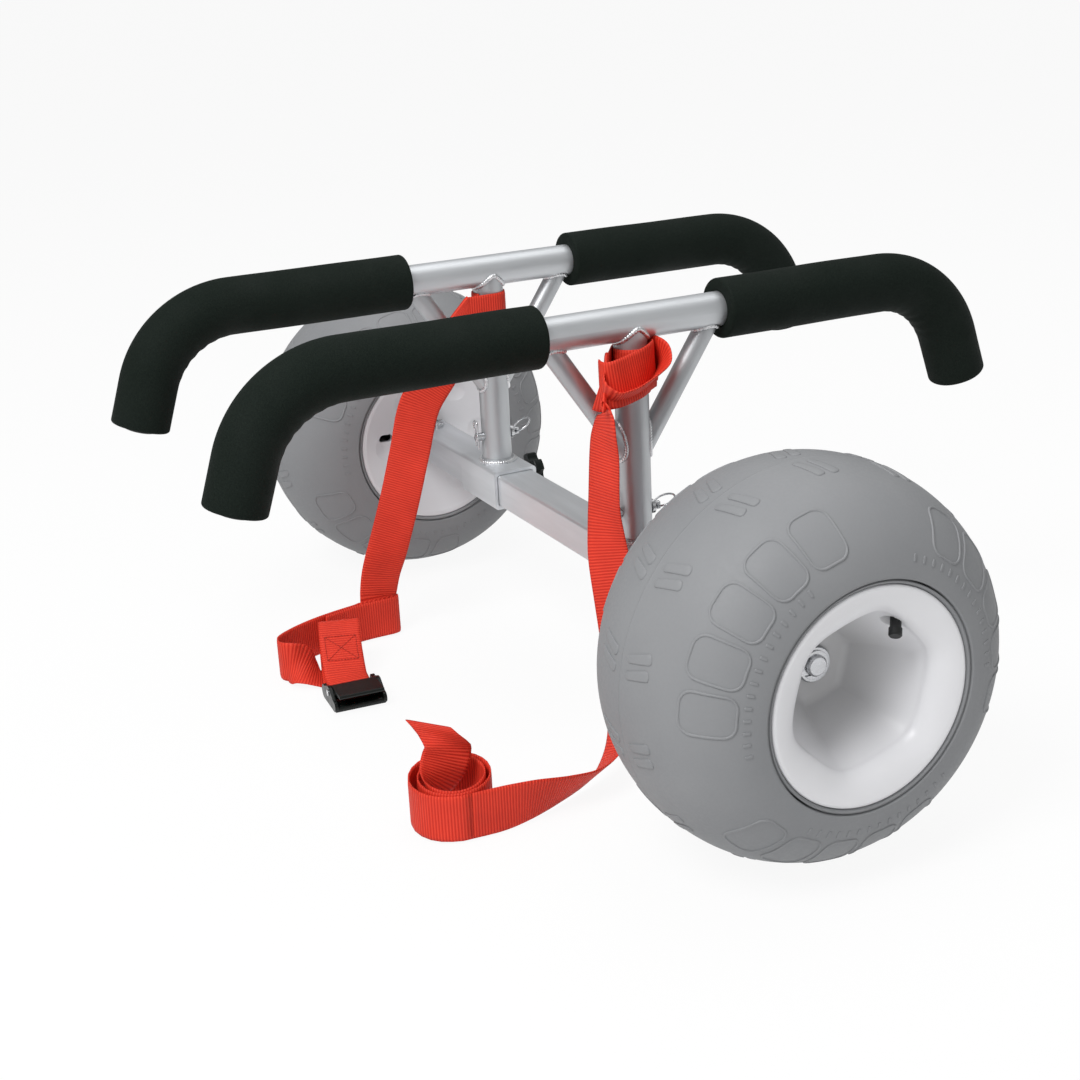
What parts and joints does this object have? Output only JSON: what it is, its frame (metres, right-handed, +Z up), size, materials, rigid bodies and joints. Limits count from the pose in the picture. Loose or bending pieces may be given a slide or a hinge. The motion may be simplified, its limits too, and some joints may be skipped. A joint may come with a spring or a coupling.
{
  "type": "kayak cart",
  "caption": "Two-wheel kayak cart with balloon tyres, padded bunks that slide on a rectangular axle tube, and a webbing tie-down with a cam buckle.",
  "frame": {"origin": "on the floor, under the middle of the bounding box, which is the middle of the axle", "axes": "+X along the axle towards the right wheel, +Y along the bunks towards the clamp knobs, +Z up"},
  "size_m": [0.917, 0.7164, 0.377],
  "materials": {
    "satin_aluminium": "satin, lightly streaked along the tube",
    "weld_aluminium": "bright rippled weld",
    "steel": "zinc plated",
    "black_steel": "gloss black coated",
    "black_plastic": "moulded black",
    "grey_plastic": "moulded grey",
    "white_plastic": "semi gloss white moulding",
    "foam": "fine grained closed cell foam",
    "tyre": "matte grey",
    "valve_rubber": "black rubber",
    "webbing": "ribbed polyester webbing"
  },
  "bodies": {
    "axle": {"axle_tube": "satin_aluminium", "left_axle_insert": "black_plastic", "right_axle_insert": "black_plastic", "left_stub_axle": "steel", "right_stub_axle": "steel", "left_axle_hardware": "steel", "right_axle_hardware": "steel", "left_wheel_pin": "steel", "right_wheel_pin": "steel"},
    "left_wheel": {"left_tyre": "tyre", "left_outer_hub": "white_plastic", "left_inner_hub": "white_plastic", "left_hub_bolts": "black_steel", "left_hub_bushes": "grey_plastic", "left_valve": "valve_rubber"},
    "left_bunk": {"left_sleeve": "satin_aluminium", "left_post_spigot": "satin_aluminium", "left_post": "satin_aluminium", "left_bunk_tube": "satin_aluminium", "left_braces": "satin_aluminium", "left_front_foam": "foam", "left_rear_foam": "foam", "left_end_caps": "black_plastic", "left_weld_beads": "weld_aluminium", "left_post_pin": "steel", "left_clamp_nut": "steel", "left_strap": "webbing", "buckle_frame": "black_steel", "buckle_pin": "steel"},
    "left_knob": {"left_clamp_knob": "black_plastic"},
    "left_clip": {"left_post_clip": "steel"},
    "left_post_ring": {"left_post_pin_ring": "steel"},
    "left_wheel_ring": {"left_wheel_pin_ring": "steel"},
    "right_wheel": {"right_tyre": "tyre", "right_outer_hub": "white_plastic", "right_inner_hub": "white_plastic", "right_hub_bolts": "black_steel", "right_hub_bushes": "grey_plastic", "right_valve": "valve_rubber"},
    "right_bunk": {"right_sleeve": "satin_aluminium", "right_post_spigot": "satin_aluminium", "right_post": "satin_aluminium", "right_bunk_tube": "satin_aluminium", "right_braces": "satin_aluminium", "right_front_foam": "foam", "right_rear_foam": "foam", "right_end_caps": "black_plastic", "right_weld_beads": "weld_aluminium", "right_post_pin": "steel", "right_clamp_nut": "steel", "right_strap": "webbing", "right_strap_coil": "webbing"},
    "right_knob": {"right_clamp_knob": "black_plastic"},
    "right_clip": {"right_post_clip": "steel"},
    "right_post_ring": {"right_post_pin_ring": "steel"},
    "right_wheel_ring": {"right_wheel_pin_ring": "steel"},
    "buckle_lever": {"buckle_cam": "black_plastic"}
  },
  "joints": [
    {"name": "left_wheel_spin", "type": "hinge", "parent": "axle", "child": "left_wheel", "pos_m": [-0.37, 0, 0.15], "axis": [1, 0, 0], "continuous": true},
    {"name": "left_bunk_slide", "type": "slide", "parent": "axle", "child": "left_bunk", "axis": [-1, 0, 0], "range_m": [-0.06, 0.04]},
    {"name": "left_knob_turn", "type": "hinge", "parent": "left_bunk", "child": "left_knob", "pos_m": [-0.134, 0.03, 0.15], "axis": [0, 1, 0], "range_deg": [0, 270]},
    {"name": "left_clip_pull", "type": "slide", "parent": "left_bunk", "child": "left_clip", "axis": [-0.0698, 0, 0.9976], "range_m": [0, 0.025]},
    {"name": "left_post_ring_swing", "type": "hinge", "parent": "left_bunk", "child": "left_post_ring", "pos_m": [-0.134, 0.0199, 0.194], "axis": [1, 0, 0], "range_deg": [-130, 60]},
    {"name": "left_wheel_ring_lift", "type": "hinge", "parent": "axle", "child": "left_wheel_ring", "pos_m": [-0.279, 0, 0.1679], "axis": [0, 1, 0], "range_deg": [0, 165]},
    {"name": "right_wheel_spin", "type": "hinge", "parent": "axle", "child": "right_wheel", "pos_m": [0.37, 0, 0.15], "axis": [1, 0, 0], "continuous": true},
    {"name": "right_bunk_slide", "type": "slide", "parent": "axle", "child": "right_bunk", "axis": [1, 0, 0], "range_m": [-0.06, 0.04]},
    {"name": "right_knob_turn", "type": "hinge", "parent": "right_bunk", "child": "right_knob", "pos_m": [0.134, 0.03, 0.15], "axis": [0, 1, 0], "range_deg": [0, 270]},
    {"name": "right_clip_pull", "type": "slide", "parent": "right_bunk", "child": "right_clip", "axis": [-0.6428, 0, 0.766], "range_m": [0, 0.025]},
    {"name": "right_post_ring_swing", "type": "hinge", "parent": "right_bunk", "child": "right_post_ring", "pos_m": [0.134, 0.0199, 0.194], "axis": [1, 0, 0], "range_deg": [-115, 75]},
    {"name": "right_wheel_ring_lift", "type": "hinge", "parent": "axle", "child": "right_wheel_ring", "pos_m": [0.279, 0, 0.1679], "axis": [0, -1, 0], "range_deg": [0, 165]},
    {"name": "buckle_lever_lift", "type": "hinge", "parent": "left_bunk", "child": "buckle_lever", "pos_m": [-0.04407, -0.19498, 0.0123], "axis": [-0.0872, -0.9962, 0], "range_deg": [0, 60], "stiffness_Nm_per_rad": 0.03, "springref_deg": -17.19}
  ]
}
